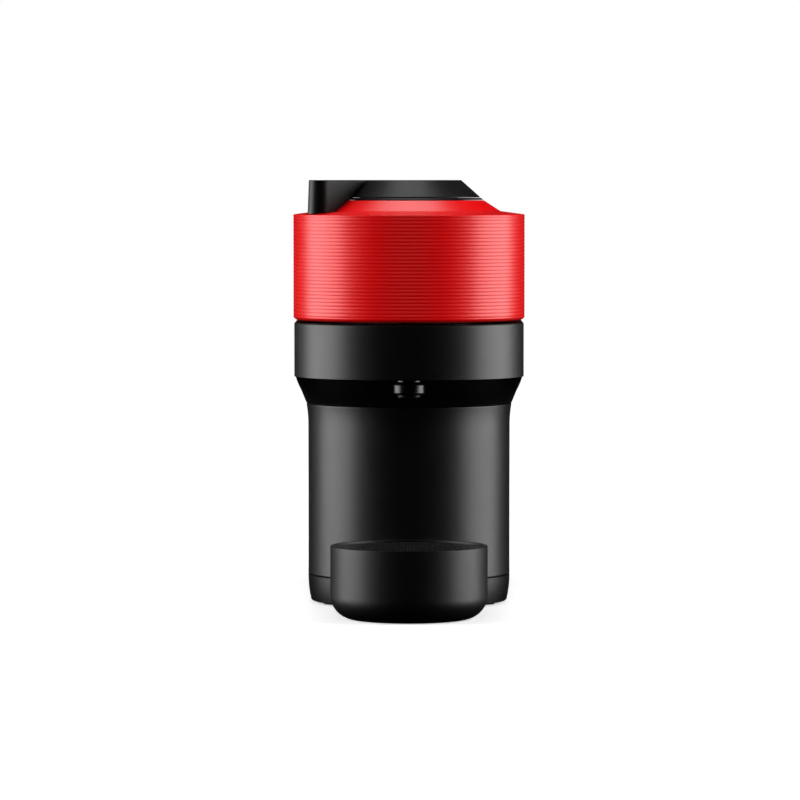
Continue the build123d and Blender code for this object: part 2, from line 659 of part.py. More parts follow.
with BuildPart() as capsule_holder:
    turn([
        (0, 150.4), (19.5, 150.4), (25.5, 156.0), (29.5, 160.4), (29.5, 168.6), (33.5, 170.6),
        (33.5, 173.4), (27.4, 173.4), (27.4, 161.6), (24.0, 157.4), (18.6, 152.4), (0, 152.4),
    ])
    for angle in range(0, 360, 120):
        turn(
            [(32.0, 170), (34, 170), (34, 174), (32.0, 174)],
            mode=Mode.SUBTRACT, start=angle - 7, sweep=14,
        )
capsule_holder.part.label = "capsule_holder"

# ---------------------------------------------------------------- container and cup support

with BuildPart() as capsule_container:
    floor_z = BASE_TOP + 2.6
    round_block(
        BASE_TOP + 0.2, SEAM_Z - 0.5, COLUMN_HALF, COLUMN_ARC_Y, COLUMN_FRONT, COLUMN_BACK, 4
    )
    round_block(
        floor_z, SEAM_Z + 5, COLUMN_HALF - 2, COLUMN_ARC_Y, COLUMN_FRONT + 2, COLUMN_BACK - 2, 3,
        Mode.SUBTRACT,
    )
    # the closed pocket that the cup support hooks into
    pocket_in, pocket_out = 49, COLUMN_HALF - 1.4
    turn(
        [(pocket_in, floor_z), (pocket_out, floor_z), (pocket_out, 34), (pocket_in, 34)],
        place=(0, COLUMN_ARC_Y), start=244, sweep=52,
    )
    block((-22.4, -100, HOOK_LOW - 0.2), (22.4, -86, HOOK_HIGH + 0.2), Mode.SUBTRACT)
capsule_container.part.label = "capsule_container"

with BuildPart() as cup_support:
    turn([
        (0, 0), (BOWL_RADIUS, 0), (BOWL_RADIUS, BOWL_TOP - 0.5), (BOWL_RADIUS - 0.5, BOWL_TOP),
        (43.3, BOWL_TOP), (43.3, 40.0), (41.6, 40.0), (41.6, 38.0), (43.7, 36.0), (43.7, WALL),
        (0, WALL),
    ], place=(0, BOWL_Y))
    round_edges = cup_support.edges().filter_by(GeomType.CIRCLE)
    fillet(round_edges.group_by(Axis.Z)[0], radius=BOWL_ROUND)
    bowl_floor = cup_support.faces().filter_by(Axis.Z).sort_by(Axis.Z)[1]
    fillet(bowl_floor.outer_wire().edges(), radius=BOWL_ROUND - WALL)
    # the tongue that hooks into the container
    block((-22, -108, HOOK_LOW), (22, -86.4, HOOK_HIGH))
    post((0, BOWL_Y), 43.7, 16, 36, Mode.SUBTRACT)
cup_support.part.label = "cup_support"

with BuildPart() as drip_grid:
    post((0, BOWL_Y), 42.9, 40.3, 41.9)
    with Locations(Plane((0, BOWL_Y, 41.9))):
        with HexLocations(3.6, 11, 11):
            Hole(1.2, 4)
drip_grid.part.label = "drip_grid"

# ---------------------------------------------------------------- water tank

with BuildPart() as water_tank:
    block((-TANK_HALF, TANK_FRONT, TANK_BOTTOM), (TANK_HALF, TANK_BACK, TANK_TOP))
    fillet(water_tank.edges().filter_by(Axis.Z).group_by(Axis.Y)[-1], radius=20)
    fillet(water_tank.edges().filter_by(Axis.Z).group_by(Axis.Y)[0], radius=6)
    offset(water_tank.part, amount=-2, openings=water_tank.faces().sort_by(Axis.Z)[-1], mode=Mode.REPLACE)
    post((0, VALVE_Y), 6.9, 20, 30, Mode.SUBTRACT)
water_tank.part.label = "water_tank"

with BuildPart() as tank_lid:
    # the plate on the rim, then the skirt that fits inside the tank
    for inset, bottom, top in ((0, TANK_TOP + 0.3, TANK_TOP + 4), (2.6, TANK_TOP - 4, TANK_TOP + 0.3)):
        with BuildSketch(Plane.XY.offset(bottom)) as lid_plan:
            with Locations((0, (TANK_FRONT + TANK_BACK) / 2)):
                Rectangle(2 * (TANK_HALF - inset), TANK_BACK - TANK_FRONT - 2 * inset)
            fillet(lid_plan.vertices().group_by(Axis.Y)[-1], radius=20 - inset)
            fillet(lid_plan.vertices().group_by(Axis.Y)[0], radius=6 - inset)
        extrude(lid_plan.sketch, amount=top - bottom)
    block((-34, TANK_FRONT + 5, TANK_TOP - 5), (34, TANK_BACK - 6, TANK_TOP + 1), Mode.SUBTRACT)
tank_lid.part.label = "tank_lid"

with BuildPart() as tank_valve_body:
    turn([
        (5.0, 21.9), (6.8, 21.9), (6.8, 26.2), (10.0, 26.2), (10.0, 28.0), (6.4, 28.0), (6.4, 39.5),
        (0, 39.5), (0, 38.0), (5.2, 38.0), (5.2, 26.6), (2.2, 26.6), (2.2, 25.2), (5.0, 25.2),
    ], place=(0, VALVE_Y))
    for angle in range(0, 360, 90):
        turn(
            [(4, 29), (8, 29), (8, 37), (4, 37)],
            place=(0, VALVE_Y), mode=Mode.SUBTRACT, start=angle, sweep=55,
        )
tank_valve_body.part.label = "tank_valve_body"

with BuildPart() as valve_poppet:
    post((0, VALVE_Y), 4.4, 26.7, 28.0)
    post((0, VALVE_Y), 1.3, 21.5, 31.0)
valve_poppet.part.label = "valve_poppet"

with BuildPart() as valve_spring:
    coil((0, VALVE_Y), 28.1, 37.9, 3.2, 0.4, 5)
valve_spring.part.label = "valve_spring"

# ---------------------------------------------------------------- files

PIECES = (
    base_plate, rubber_feet, base_screws, main_body, head_housing, rear_cover, back_panel, hinge_pin,
    cord_gland, brew_deck, deck_screws, brew_bowl, holder_bearing, coffee_spout, capsule_chute,
    code_reader, tank_seat, tank_seal, pump_body, pump_plunger, pump_spring, pump_mounts, thermoblock,
    thermal_fuse, flow_meter_body, flow_meter_rotor, main_board, suction_hose, meter_hose,
    pressure_hose, hot_water_tube, lid_cover, lid_frame, lid_screws, lid_seal, top_cone, motor_stator,
    rotor_bearings, water_inlet, button_board, brew_button, button_spring, lock_lever, lock_ring,
    motor_rotor, clamp_plate, injection_needle, capsule_holder, capsule_container, cup_support,
    drip_grid, water_tank, tank_lid, tank_valve_body, valve_poppet, valve_spring,
)

os.makedirs("parts", exist_ok=True)
for piece in PIECES:
    export_step(piece.part, f"parts/{piece.part.label}.step")
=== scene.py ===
# %% [markdown]
# A narrow capsule coffee machine, dressed in Blender over its fixed mechanical model.
# The mechanical model says where everything is and how it moves. This file replaces the
# outer mouldings with finer meshes, gives every other part its finish, and sets a plain
# studio around it. Lengths that come from drawings are in millimetres, and MM turns them
# into Blender's metres.

# %% Load the frame
from math import acos, atan2, cos, degrees, hypot, pi, radians, sin, sqrt, tan

import bmesh
import bpy
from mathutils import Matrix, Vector


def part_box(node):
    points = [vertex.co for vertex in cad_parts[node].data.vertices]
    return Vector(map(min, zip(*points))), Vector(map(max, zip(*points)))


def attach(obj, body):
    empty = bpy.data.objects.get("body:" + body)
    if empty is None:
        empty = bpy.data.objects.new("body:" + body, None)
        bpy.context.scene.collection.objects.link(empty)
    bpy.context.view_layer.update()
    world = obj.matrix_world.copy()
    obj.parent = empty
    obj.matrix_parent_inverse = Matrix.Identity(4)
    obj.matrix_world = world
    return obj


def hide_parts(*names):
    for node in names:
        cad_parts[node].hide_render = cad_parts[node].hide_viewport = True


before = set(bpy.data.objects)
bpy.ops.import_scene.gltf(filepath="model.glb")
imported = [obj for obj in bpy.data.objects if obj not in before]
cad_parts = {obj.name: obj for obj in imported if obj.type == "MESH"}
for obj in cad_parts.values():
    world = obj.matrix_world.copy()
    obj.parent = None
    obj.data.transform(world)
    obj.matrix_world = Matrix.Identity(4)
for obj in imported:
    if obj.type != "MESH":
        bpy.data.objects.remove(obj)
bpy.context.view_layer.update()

MM = 0.001
scene = bpy.context.scene

# %% [markdown]
# Most pieces sit around the upright axis that the capsule spins on, so that axis is read
# from the cone on top of the lid. The other measures below come from the boxes of the
# mechanical parts too, so that a change there moves the looks with it.

# %% Measures read from the frame
def box_mm(node):
    """The lowest and highest corner of a mechanical part, in millimetres."""
    low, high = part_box(node)
    return [v / MM for v in low], [v / MM for v in high]


cone_low, cone_high = box_mm("top_cone")
BREW_Y = round((cone_low[1] + cone_high[1]) / 2, 1)
TOP_Z = cone_high[2]
cup_low, cup_high = box_mm("drip_grid")
CUP_Y = round((cup_low[1] + cup_high[1]) / 2, 1)
print("brew axis at y", BREW_Y, "mm, top at", round(TOP_Z, 1), "mm, cup support at y", CUP_Y)

# %% [markdown]
# A moulded edge is never sharp: the tool that cuts the mould has a radius, and that small
# round is what catches the light. So outlines are written as corners with a radius, and
# this helper turns each corner into a short arc before the outline becomes a surface.

# %% Outlines with rounded corners
def rounded(corners, steps=6, closed=False):
    """Points of an outline. A corner is (a, b) or, with a radius, (a, b, radius)."""
    points = []
    count = len(corners)
    for i, corner in enumerate(corners):
        here = Vector(corner[:2])
        radius = corner[2] if len(corner) > 2 else 0
        inside = closed or 0 < i < count - 1
        if radius <= 0 or not inside:
            points.append(tuple(here))
            continue
        back = Vector(corners[i - 1][:2]) - here
        ahead = Vector(corners[(i + 1) % count][:2]) - here
        half = back.angle(ahead) / 2
        if half > pi / 2 - 0.01:
            points.append(tuple(here))
            continue
        reach = min(radius / tan(half), 0.49 * back.length, 0.49 * ahead.length)
        centre = here + (back.normalized() + ahead.normalized()).normalized() * reach / cos(half)
        start = here + back.normalized() * reach - centre
        end = here + ahead.normalized() * reach - centre
        for step in range(steps + 1):
            points.append(tuple(centre + start.slerp(end, step / steps) * start.length))
    return points


# %% [markdown]
# Every mesh goes through one function. It takes a bmesh in millimetres, welds double
# points, turns the faces outwards and shades them smooth, except across edges that bend
# by more than a set angle, where a crisp line is wanted. Large faces lead the shading, so
# that a flat wall stays flat right up to the small round at its edge.

# %% From bmesh to object
CRISP = 32


def apply_changes(piece):
    """Apply every modifier of a piece."""
    shaped = piece.evaluated_get(bpy.context.evaluated_depsgraph_get())
    mesh = bpy.data.meshes.new_from_object(shaped)
    piece.modifiers.clear()
    piece.data = mesh


def even_shading(piece, crisp):
    """Keep flat faces flat: large faces lead the shading, and sharp bends stay sharp."""
    piece.data.set_sharp_from_angle(angle=radians(crisp))
    change = piece.modifiers.new("even shading", "WEIGHTED_NORMAL")
    change.keep_sharp = True
    apply_changes(piece)


def finish_mesh(bm, name, body, stands_for=(), crisp=CRISP):
    """Make the object of a bmesh drawn in millimetres, and let it ride on a body."""
    bmesh.ops.remove_doubles(bm, verts=bm.verts, dist=0.0005)
    bmesh.ops.recalc_face_normals(bm, faces=bm.faces)
    bmesh.ops.scale(bm, vec=(MM, MM, MM), verts=bm.verts)
    for face in bm.faces:
        face.smooth = True
    mesh = bpy.data.meshes.new(name)
    bm.to_mesh(mesh)
    bm.free()
    piece = bpy.data.objects.new(name, mesh)
    scene.collection.objects.link(piece)
    even_shading(piece, crisp)
    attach(piece, body)
    if stands_for:
        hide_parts(*stands_for)
    print(f"{name}: {len(piece.data.polygons)} faces")
    return piece


def add_rings(bm, rings, closed=True, cap=False):
    """Join rings of points, all of one length, into a skin. Closed joins the last to the first."""
    rows = [[bm.verts.new(point) for point in ring] for ring in rings]
    count = len(rows[0])
    pairs = list(zip(rows, rows[1:])) + ([(rows[-1], rows[0])] if closed else [])
    for one, two in pairs:
        for i in range(count):
            j = (i + 1) % count
            corners = (one[i], one[j], two[j], two[i])
            if len({tuple(round(c, 5) for c in v.co) for v in corners}) > 2:
                bm.faces.new(corners)
    if cap:
        bm.faces.new(list(reversed(rows[0])))
        bm.faces.new(rows[-1])


def add_turned(bm, outline, place, steps=160, closed=True):
    """Turn an outline of (radius, height) points about the upright axis at a place."""
    rings = []
    for radius, height in outline:
        ring = []
        for step in range(steps):
            angle = 2 * pi * step / steps
            ring.append((place[0] + radius * cos(angle), place[1] + radius * sin(angle), height))
        rings.append(ring)
    add_rings(bm, rings, closed)


def add_block(bm, low, high):
    """A plain block between two corners, for what is hidden or cut away."""
    rings = []
    for z in (low[2], high[2]):
        rings.append([
            (low[0], low[1], z), (high[0], low[1], z), (high[0], high[1], z), (low[0], high[1], z),
        ])
    add_rings(bm, rings, closed=False, cap=True)


# %% [markdown]
# The mouldings of the body share one kind of plan, seen from above: a round front, two
# straight sides and a flat rear with small corners. Its points are spread the same way at
# every height, so that two plans of different size can be joined ring to ring.

# %% The plan of the body
def plan(half, arc_y, front, rear, corner, height, front_steps=72, corner_steps=8):
    """One ring of points: rear left corner, left side, round front, right side and rear."""
    ring = []
    for step in range(corner_steps + 1):
        angle = pi / 2 + (pi / 2) * step / corner_steps
        ring.append((-half + corner + corner * cos(angle), rear - corner + corner * sin(angle), height))
    for step in range(front_steps + 1):
        angle = pi + pi * step / front_steps
        ring.append((half * cos(angle), arc_y + (arc_y - front) * sin(angle), height))
    for step in range(corner_steps + 1):
        angle = (pi / 2) * step / corner_steps
        ring.append((half - corner + corner * cos(angle), rear - corner + corner * sin(angle), height))
    return ring


def add_moulding(bm, profile, half, arc_y, front, rear, corner, closed=True):
    """Carry a profile of (inset, height) points round a plan. An open one gets flat ends.

    A negative inset makes the ring larger than the plan.
    """
    rings = []
    for inset, height in profile:
        small = max(0.4, corner - inset)
        rings.append(plan(half - inset, arc_y, front + inset, rear - inset, small, height))
    add_rings(bm, rings, closed, cap=not closed)


def cut(piece, *blocks):
    """Cut blocks, given by two corners in millimetres, out of a piece."""
    bm = bmesh.new()
    for low, high in blocks:
        add_block(bm, low, high)
    bmesh.ops.recalc_face_normals(bm, faces=bm.faces)
    bmesh.ops.scale(bm, vec=(MM, MM, MM), verts=bm.verts)
    mesh = bpy.data.meshes.new("cutter")
    bm.to_mesh(mesh)
    bm.free()
    cutter = bpy.data.objects.new("cutter", mesh)
    scene.collection.objects.link(cutter)
    change = piece.modifiers.new("cut", "BOOLEAN")
    change.operation = "DIFFERENCE"
    change.solver = "EXACT"
    change.use_self = True
    change.object = cutter
    apply_changes(piece)
    even_shading(piece, CRISP)
    bpy.data.objects.remove(cutter, do_unlink=True)


# %% [markdown]
# Materials are built from nodes. Arithmetic between sockets would take many lines, so one
# small class wraps a socket and gives it Python's operators. Everything else, from a noise
# texture to a ramp, comes from a single method that sets a node's options first and then
# fills in its sockets.

# %% A small language for shaders
class Level:
    """A number that varies over a surface."""

    def __init__(self, finish, socket):
        self.finish = finish
        self.socket = socket

    def reckon(self, operation, first, second):
        return self.finish.node("ShaderNodeMath", {"operation": operation}, {0: first, 1: second})

    def __add__(self, other):
        return self.reckon("ADD", self, other)

    def __mul__(self, other):
        return self.reckon("MULTIPLY", self, other)

    def __sub__(self, other):
        return self.reckon("SUBTRACT", self, other)

    def __rsub__(self, other):
        return self.reckon("SUBTRACT", other, self)

    __radd__ = __add__
    __rmul__ = __mul__


class Finish:
    """A material under construction, with its principled shader."""

    def __init__(self, name):
        self.material = bpy.data.materials.new(name)
        self.material.use_nodes = True
        self.tree = self.material.node_tree
        self.shader = self.tree.nodes["Principled BSDF"]

    def fill(self, socket, value):
        if isinstance(value, Level):
            self.tree.links.new(value.socket, socket)
        elif isinstance(value, tuple) and len(value) == 3 and socket.type == "RGBA":
            socket.default_value = (*value, 1)
        else:
            socket.default_value = value

    def node(self, kind, settings=None, values=None, output=0):
        """Add a node of any type: its settings first, then the values or links of its sockets."""
        made = self.tree.nodes.new(kind)
        for name, setting in (settings or {}).items():
            if name == "stops":
                ramp = made.color_ramp
                for element, (position, level) in zip(ramp.elements, setting):
                    element.position = position
                    element.color = (level, level, level, 1)
            else:
                setattr(made, name, setting)
        for name, value in (values or {}).items():
            self.fill(made.inputs[name], value)
        return Level(self, made.outputs[output])

    def mix(self, amount, first, second):
        """A colour between two colours."""
        return self.node("ShaderNodeMix", {"data_type": "RGBA"}, {0: amount, 6: first, 7: second}, 2)

    def noise(self, scale, detail=2.0, place=None):
        """Noise between 0 and 1, with its scale in lumps per metre."""
        place = place or self.place()
        return self.node("ShaderNodeTexNoise", {}, {"Vector": place, "Scale": scale, "Detail": detail})

    def place(self):
        return self.node("ShaderNodeTexCoord", output=3)

    def part_of(self, place, axis):
        return self.node("ShaderNodeSeparateXYZ", {}, {0: place}, "XYZ".index(axis))

    def ramp(self, level, low, high):
        """Stretch a level so that low becomes 0 and high becomes 1."""
        return self.node("ShaderNodeValToRGB", {"stops": ((low, 0), (high, 1))}, {0: level})

    def bump(self, height, strength, distance):
        return self.node(
            "ShaderNodeBump", {}, {"Strength": strength, "Distance": distance, "Height": height}
        )

    def set(self, **values):
        """Fill sockets of the principled shader. An underscore stands for a space."""
        for name, value in values.items():
            self.fill(self.shader.inputs[name.replace("_", " ")], value)
        return self


# %% [markdown]
# Injection-moulded plastic looks plain from afar, but it isn't one flat colour. Its gloss
# wanders a little where the melt cooled, the surface carries the grain of the mould, and
# fingers leave faint dull patches. One function makes all of the machine's plastics from
# a colour, a gloss and the size of the grain.

# %% Moulded plastic
FINISHES = {}


def moulded(name, colour, gloss, grain=0.0, grain_scale=9000.0, shade=0.12, specular=0.5):
    """Plastic with a wandering gloss, a grain and faint handling marks."""
    finish = Finish(name)
    place = finish.place()
    cloud = finish.noise(26.0, 3.0, place)
    marks = finish.ramp(finish.noise(90.0, 4.0, place), 0.45, 0.75)
    darker = tuple(c * (1 - shade) for c in colour)
    finish.set(
        Base_Color=finish.mix(cloud, darker, colour),
        Roughness=gloss + 0.035 * (cloud - 0.5) + 0.025 * marks,
    )
    finish.shader.inputs["Specular IOR Level"].default_value = specular
    if grain > 0:
        fine = finish.noise(grain_scale, 2.0, place)
        finish.set(Normal=finish.bump(fine, grain, 0.00006))
    FINISHES[name] = finish.material
    return finish


moulded("red_gloss", (0.69, 0.0018, 0.003), 0.32, shade=0.06, specular=0.42)
moulded("black_satin", (0.0016, 0.0016, 0.0017), 0.40, grain=0.25, grain_scale=5200.0)
moulded("black_soft", (0.0016, 0.0016, 0.0017), 0.46, grain=0.25, grain_scale=5200.0)
moulded("black_calm", (0.0016, 0.0016, 0.0017), 0.40, grain=0.25, grain_scale=5200.0, specular=0.32)
moulded("black_gloss", (0.0016, 0.0016, 0.0018), 0.30, grain=0.0)
moulded("black_matt", (0.008, 0.008, 0.0085), 0.55, grain=0.5, grain_scale=3600.0)
moulded("grey_nylon", (0.16, 0.16, 0.165), 0.5, grain=0.4, grain_scale=4200.0)
moulded("white_acetal", (0.70, 0.69, 0.65), 0.35, grain=0.15)
print("plastics:", ", ".join(FINISHES))

# %% [markdown]
# The parts inside are metal, rubber, board and clear plastic. Turned and drawn metal shows
# fine lines along one direction, so its noise is stretched; cast metal is cloudy; rubber is
# dull with a dusty bloom; a circuit board is green lacquer with a grid of raised tracks.

# %% Metals, rubbers, clear plastic and circuit board
def metal(name, colour, gloss, lines=(400.0, 400.0, 6000.0), depth=0.15):
    """Metal with a stretched grain: lines are the lumps per metre along each axis."""
    finish = Finish(name)
    stretched = finish.node("ShaderNodeMapping", {}, {"Vector": finish.place(), "Scale": lines})
    grain = finish.node("ShaderNodeTexNoise", {}, {"Vector": stretched, "Scale": 1.0, "Detail": 3.0})
    cloud = finish.noise(60.0, 3.0)
    darker = tuple(0.78 * c for c in colour)
    finish.set(
        Base_Color=finish.mix(grain * 0.6 + cloud * 0.4, darker, colour),
        Roughness=gloss + 0.12 * (grain - 0.5) + 0.10 * (cloud - 0.5),
        Normal=finish.bump(grain, depth, 0.00004),
        Metallic=1.0,
    )
    FINISHES[name] = finish.material


def rubber(name, colour, dust=0.35):
    """Rubber with a pale bloom in its hollows."""
    finish = Finish(name)
    bloom = finish.ramp(finish.noise(140.0, 5.0), 0.48, 0.8)
    paler = tuple(min(1.0, c + 0.05) for c in colour)
    finish.set(
        Base_Color=finish.mix(bloom * dust, colour, paler),
        Roughness=0.62 + 0.2 * bloom,
        Normal=finish.bump(finish.noise(3000.0), 0.3, 0.00008),
    )
    FINISHES[name] = finish.material


metal("drawn_steel", (0.62, 0.62, 0.63), 0.28)
metal("bright_screw", (0.66, 0.67, 0.70), 0.25, lines=(1500.0, 1500.0, 1500.0))
metal("cast_alloy", (0.66, 0.67, 0.68), 0.46, lines=(900.0, 900.0, 900.0), depth=0.4)
metal("plated_can", (0.50, 0.51, 0.53), 0.32, lines=(200.0, 200.0, 4000.0))
metal("ground_iron", (0.30, 0.30, 0.31), 0.40, lines=(300.0, 300.0, 5000.0))
metal("bronze", (0.62, 0.43, 0.22), 0.35)
rubber("black_rubber", (0.012, 0.012, 0.012))
rubber("grey_seal", (0.16, 0.16, 0.165))
rubber("milky_hose", (0.55, 0.55, 0.52), dust=0.6)

smoked = Finish("smoked_clear")
haze = smoked.noise(35.0, 3.0)
smoked.set(
    Base_Color=smoked.mix(haze, (0.50, 0.53, 0.56), (0.58, 0.61, 0.63)),
    Roughness=0.06 + 0.06 * haze,
    Transmission_Weight=0.92,
    IOR=1.49,
)
FINISHES["smoked_clear"] = smoked.material

board = Finish("green_board")
tracks = board.node(
    "ShaderNodeTexBrick", {"offset": 0.5},
    {
        "Vector": board.place(), "Scale": 260.0, "Mortar Size": 0.03,
        "Color1": (0, 0, 0), "Color2": (0, 0, 0), "Mortar": (1, 1, 1),
    },
)
board.set(
    Base_Color=board.mix(tracks, (0.012, 0.10, 0.035), (0.035, 0.22, 0.08)),
    Roughness=0.34 - 0.06 * tracks,
    Normal=board.bump(tracks, 0.3, 0.0001),
)
FINISHES["green_board"] = board.material
print(len(FINISHES), "finishes")


# %% [markdown]
# The mechanical parts that stay in view keep their shape and only change finish. This list
# says which finish each of them takes.

# %% Finishes for the mechanical parts
DRESS = {
    "black_satin": ("brew_deck", "back_panel", "tank_lid", "base_plate"),
    "black_gloss": ("brew_button", "coffee_spout", "top_cone", "capsule_container", "main_body"),
    "black_matt": (
        "lid_frame", "lock_ring", "capsule_chute", "tank_seat", "brew_bowl", "drip_grid", "cup_support",
        "head_housing", "rear_cover", "lock_lever",
    ),
    "red_gloss": ("lid_cover",),
    "grey_nylon": ("clamp_plate", "flow_meter_body", "tank_valve_body", "water_inlet"),
    "white_acetal": ("holder_bearing", "flow_meter_rotor", "valve_poppet", "hot_water_tube"),
    "drawn_steel": (
        "capsule_holder", "hinge_pin", "pump_plunger", "injection_needle", "pump_spring", "button_spring",
        "valve_spring", "thermal_fuse",
    ),
    "bright_screw": ("base_screws", "deck_screws", "lid_screws"),
    "cast_alloy": ("thermoblock",),
    "plated_can": ("motor_stator", "pump_body"),
    "ground_iron": ("motor_rotor",),
    "bronze": ("rotor_bearings",),
    "black_rubber": ("rubber_feet", "cord_gland", "pump_mounts"),
    "grey_seal": ("lid_seal", "tank_seal"),
    "milky_hose": ("suction_hose", "meter_hose", "pressure_hose"),
    "smoked_clear": ("water_tank",),
    "green_board": ("main_board", "button_board", "code_reader"),
}
for finish_name, nodes in DRESS.items():
    for node in nodes:
        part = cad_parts[node]
        for place in part.material_slots:
            place.material = FINISHES[finish_name]
undressed = set(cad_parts) - {node for nodes in DRESS.values() for node in nodes}
print("parts without a finish:", sorted(undressed))


def dress(piece, finish_name):
    """Give a new piece its finish."""
    piece.data.materials.clear()
    piece.data.materials.append(FINISHES[finish_name])
    return piece

# %% [markdown]
# The red lid is a turned shape: a shallow shoulder, a steep cone and a straight side with
# fine ribs all round it. Each rib is a low arc between two narrow grooves. They are real
# geometry, because they bend the highlights and show at the outline of the lid.

# %% Red lid
LID_R = 68.0
RIB_TOP, RIB_BOTTOM = 236.4, 178.6
RIB_PITCH = 2.035
RIB_DEPTH = 0.22


def ribs(top, bottom, pitch, depth, steps=6):
    """Outline points of ribs from the top down: arcs that swell between grooves."""
    count = round((top - bottom) / pitch)
    pitch = (top - bottom) / count
    points = []
    for rib in range(count):
        for step in range(steps):
            t = step / steps
            points.append((LID_R - depth * (1 - sin(pi * t)), top - pitch * (rib + t)))
    points.append((LID_R - depth, bottom))
    print(count, "ribs, pitch", round(pitch, 3), "mm")
    return points


rim = []
for step in range(9):
    angle = acos(0.52) * step / 8
    rim.append((LID_R - 5.0 + 5.0 * cos(angle), 178.2 - 2.6 * sin(angle)))
crown = rounded([
    (65.6, 235.7), (53.1, 237.4), (42.4, 244.3), (42.4, 246.1), (44.0, 246.1, 0.4), (53.8, 239.8, 2.5),
    (LID_R, 237.9, 0.8), (LID_R, 236.6),
], steps=5)
bm = bmesh.new()
add_turned(bm, crown + ribs(RIB_TOP, RIB_BOTTOM, RIB_PITCH, RIB_DEPTH) + rim, (0, BREW_Y), steps=220)
# the tongue that reaches back to the hinge, with room for the two hinge arms
tongue = [(-31, -87), (31, -87), (31, -45), (23, -45), (23, -51.5), (13, -51.5), (13, -45),
          (-13, -45), (-13, -51.5), (-23, -51.5), (-23, -45), (-31, -45)]
add_rings(bm, [[(x, y, z) for x, y in tongue] for z in (230.0, 231.5, 231.8)], closed=False, cap=True)
dress(finish_mesh(bm, "red_lid", "lid", ["lid_cover"], crisp=40), "red_gloss")

# %% [markdown]
# The black cone closes the lid. Its flat top holds the brew button, and the lock lever
# wraps its left side. Lever and cone end in one level, so that the top looks cut off with
# one stroke.

# %% Cone and button
CONE_TOP_R, CONE_RIM_R, CONE_RIM_Z = 30.6, 44.0, 246.1
slope = (TOP_Z - CONE_RIM_Z) / (CONE_RIM_R - CONE_TOP_R)
foot_r = 42.1
foot_z = CONE_RIM_Z + slope * (CONE_RIM_R - foot_r)
bm = bmesh.new()
add_turned(bm, rounded([
    (foot_r - 2.6, foot_z), (foot_r, foot_z, 0.25), (CONE_TOP_R, TOP_Z, 0.7), (13.5, TOP_Z, 0.35),
    (13.5, 251.0), (15.4, 251.0), (15.4, 255.8), (26.2, 255.8), (26.2, 232.0), (28.9, 232.0),
    (28.9, 255.8), (30.2, 255.8),
], steps=6, closed=True), (0, BREW_Y), steps=200)
dress(finish_mesh(bm, "cone", "lid", ["top_cone"]), "black_satin")

bm = bmesh.new()
dish = [(12.0 * t / 8, TOP_Z - 0.8 + 0.55 * (t / 8) ** 2) for t in range(1, 9)]
add_turned(bm, dish + rounded([
    (12.3, TOP_Z - 0.12), (13.0, TOP_Z, 0.5), (13.0, 253.4), (11.4, 253.4), (11.4, 256.2), (4.6, 256.2),
    (4.6, 254.6), (0.001, 254.6),
], steps=5) + [(0.001, TOP_Z - 0.8)], (0, BREW_Y), steps=120)
dress(finish_mesh(bm, "button", "button", ["brew_button"]), "black_gloss")

# %% [markdown]
# The lock lever is a fin with a flat face to the front and a rounded end to the left. Its
# underside follows the red lid and the cone at a small distance. So it is built from one
# outline seen from above, carried from the surface below it up to the flat top.

# %% Lock lever
def surface_below(radius):
    """Height of the lever's underside at a distance from the axis."""
    if radius < 42.4:
        return TOP_Z + 0.6 - slope * (radius - CONE_TOP_R)
    if radius < 44.1:
        return 246.45
    if radius < 53.9:
        return 246.45 - (radius - 44.1) * 6.25 / 9.8
    return 240.2 - (radius - 53.9) * 1.9 / 14.2


spread = radians(38)
inner, reach = CONE_TOP_R + 2.1, 58.2
side = [(-reach, -reach * tan(spread), 6.5), (-reach, reach * tan(spread), 6.5)]
first = (-inner * cos(spread), -inner * sin(spread))
last = (-inner * cos(spread), inner * sin(spread))
coarse = rounded([first, *side, last], steps=12)
outer = []
for one, two in zip(coarse, coarse[1:]):
    run, rise = two[0] - one[0], two[1] - one[1]
    parts = max(1, int(hypot(run, rise) / 0.8))
    outer += [(one[0] + run * k / parts, one[1] + rise * k / parts) for k in range(parts)]
outer.append(coarse[-1])
arc = []
for k in range(1, 30):
    angle = spread - 2 * spread * k / 30
    arc.append((-inner * cos(angle), inner * sin(angle)))
outline = outer + arc


def inward(points, distance):
    """The closed outline moved inwards by a distance."""
    moved = []
    count = len(points)
    for i in range(count):
        before, after = Vector(points[i - 1]), Vector(points[(i + 1) % count])
        along = (after - before).normalized()
        moved.append((points[i][0] + along.y * distance, points[i][1] - along.x * distance))
    return moved


def area(points):
    return sum(a[0] * b[1] - b[0] * a[1] for a, b in zip(points, points[1:] + points[:1])) / 2


turn_way = -1 if area(outline) > 0 else 1
TOP_ROUND = 0.6
LEAN, LEAN_FROM = 0.7, -50.0
rings = []
for share in (0.0, 0.12, 0.55, 1.0):
    ring = []
    for x, y in outline:
        low = surface_below(hypot(x, y))
        # the rounded end leans out a little towards its foot
        lean = LEAN * (1 - share) * min(1, (LEAN_FROM - x) / 8) if x < LEAN_FROM else 0.0
        ring.append((x - lean, y + BREW_Y, low + share * (TOP_Z - TOP_ROUND - low)))
    rings.append(ring)
for step in range(1, 6):
    angle = pi / 2 * step / 5
    ring = inward(outline, turn_way * TOP_ROUND * (1 - cos(angle)))
    height = TOP_Z - TOP_ROUND + TOP_ROUND * sin(angle)
    rings.append([(x, y + BREW_Y, height) for x, y in ring])
bm = bmesh.new()
add_rings(bm, rings, closed=False, cap=True)
bmesh.ops.triangulate(bm, faces=[f for f in bm.faces if len(f.verts) > 4])
add_turned(bm, rounded([
    (30.0, 236.5), (32.0, 236.5), (32.0, 246.4), (43.66, 246.4, 0.1), (42.42, 247.5, 0.1),
    (30.0, 247.5),
], steps=3, closed=True), (0, BREW_Y), steps=200)
dress(finish_mesh(bm, "lever", "lock", ["lock_lever"]), "black_calm")

